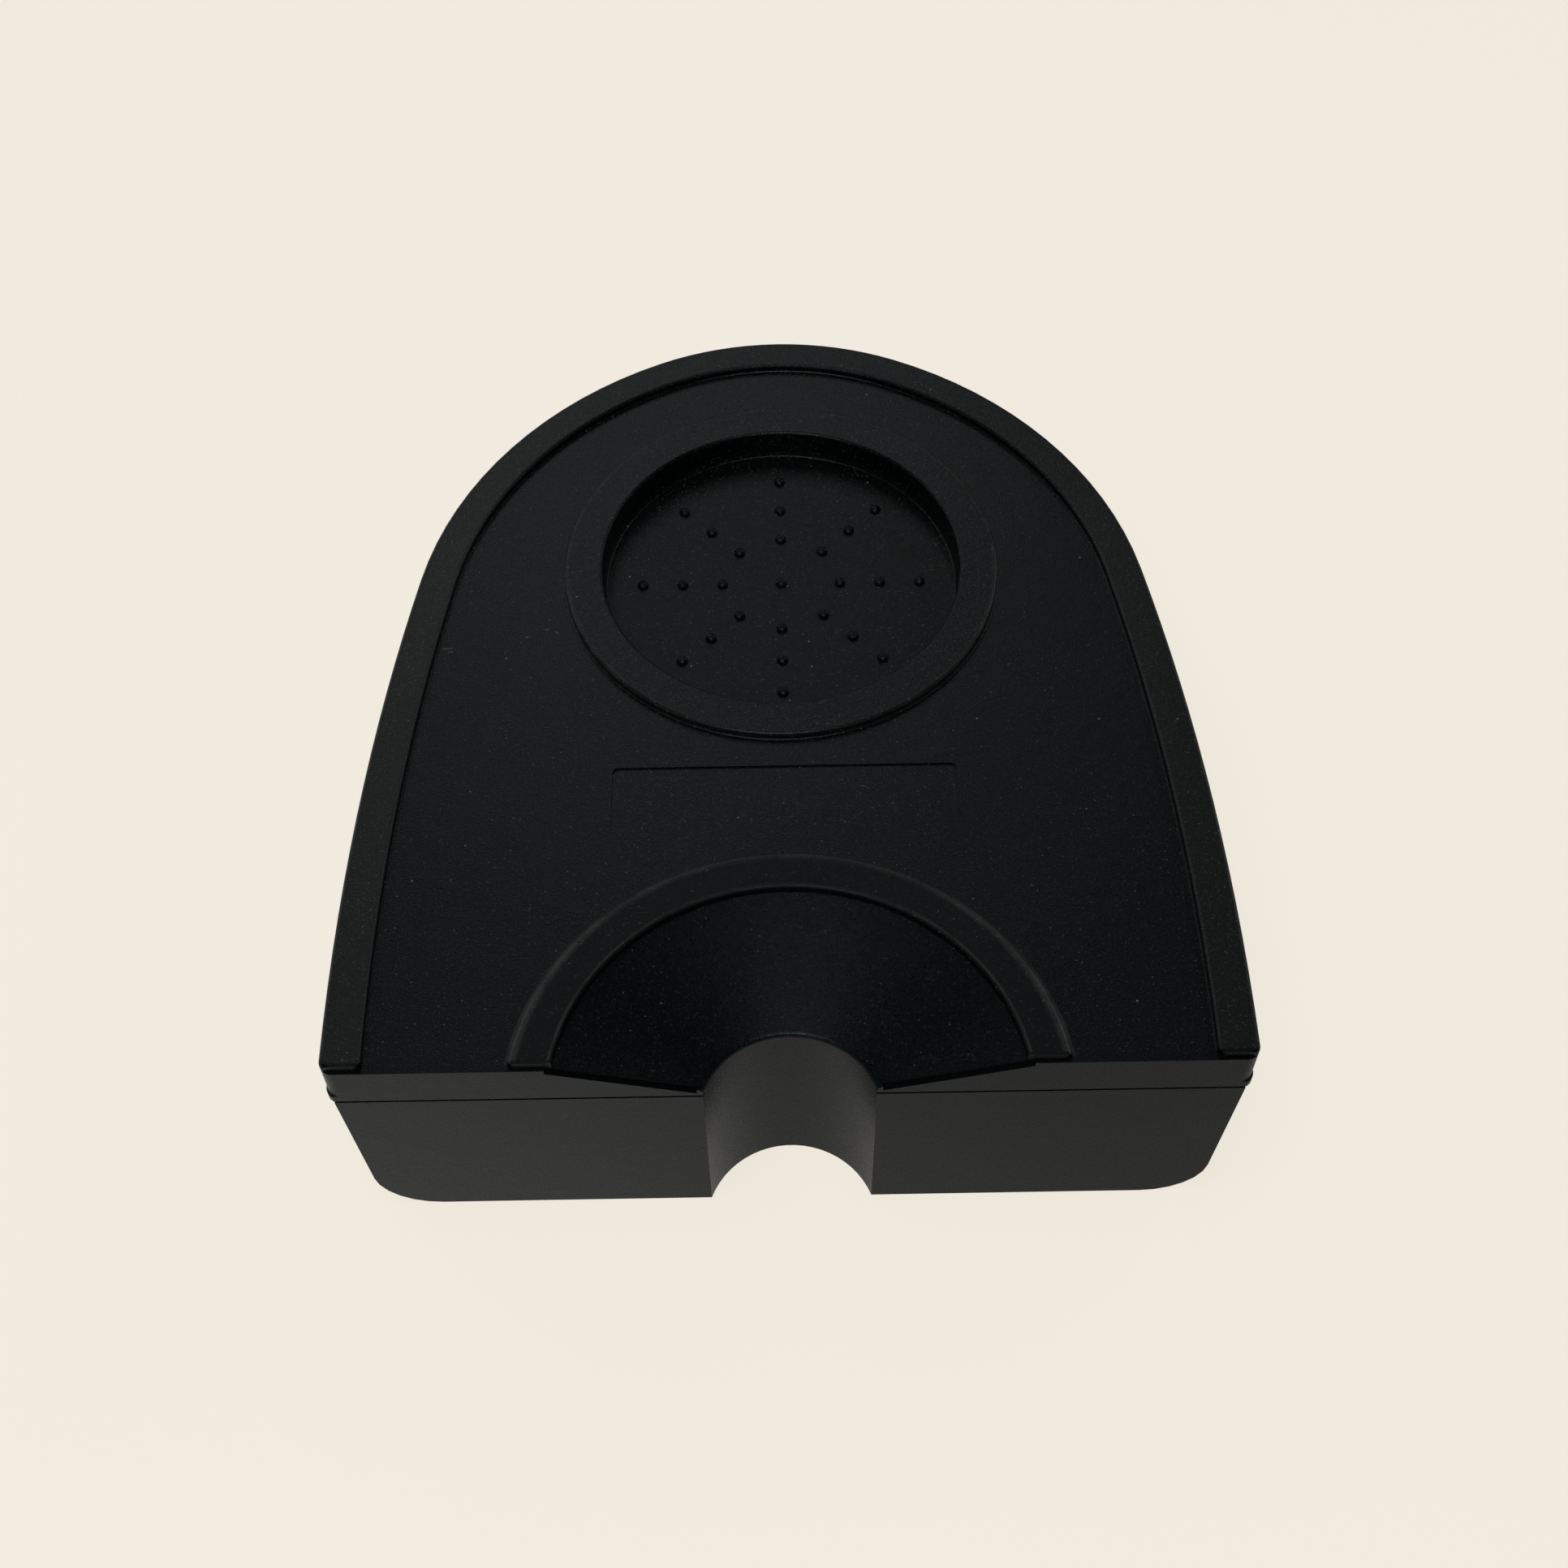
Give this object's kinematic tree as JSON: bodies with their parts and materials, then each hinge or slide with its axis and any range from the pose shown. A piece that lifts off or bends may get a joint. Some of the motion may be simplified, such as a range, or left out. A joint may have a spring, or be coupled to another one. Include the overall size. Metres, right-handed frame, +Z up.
{
  "type": "tamper mat",
  "caption": "D-shaped corner mat with a hanging front lip, a ringed round recess with grip nubs, and a sloped half-round dish that opens into a spout notch.",
  "frame": {"origin": "on the axis of the round recess, in the plane of the slab's underside, which rests on the counter", "axes": "+Z up, out of the recess; +Y from the front face, which carries the lip and notch, towards the rounded back; +X to the right when seen from the front"},
  "size_m": [0.134, 0.1468, 0.0446],
  "materials": {
    "rubber": "matte, finely grained, moulded black rubber"
  },
  "bodies": {
    "root": {"mat": "rubber"}
  },
  "joints": []
}
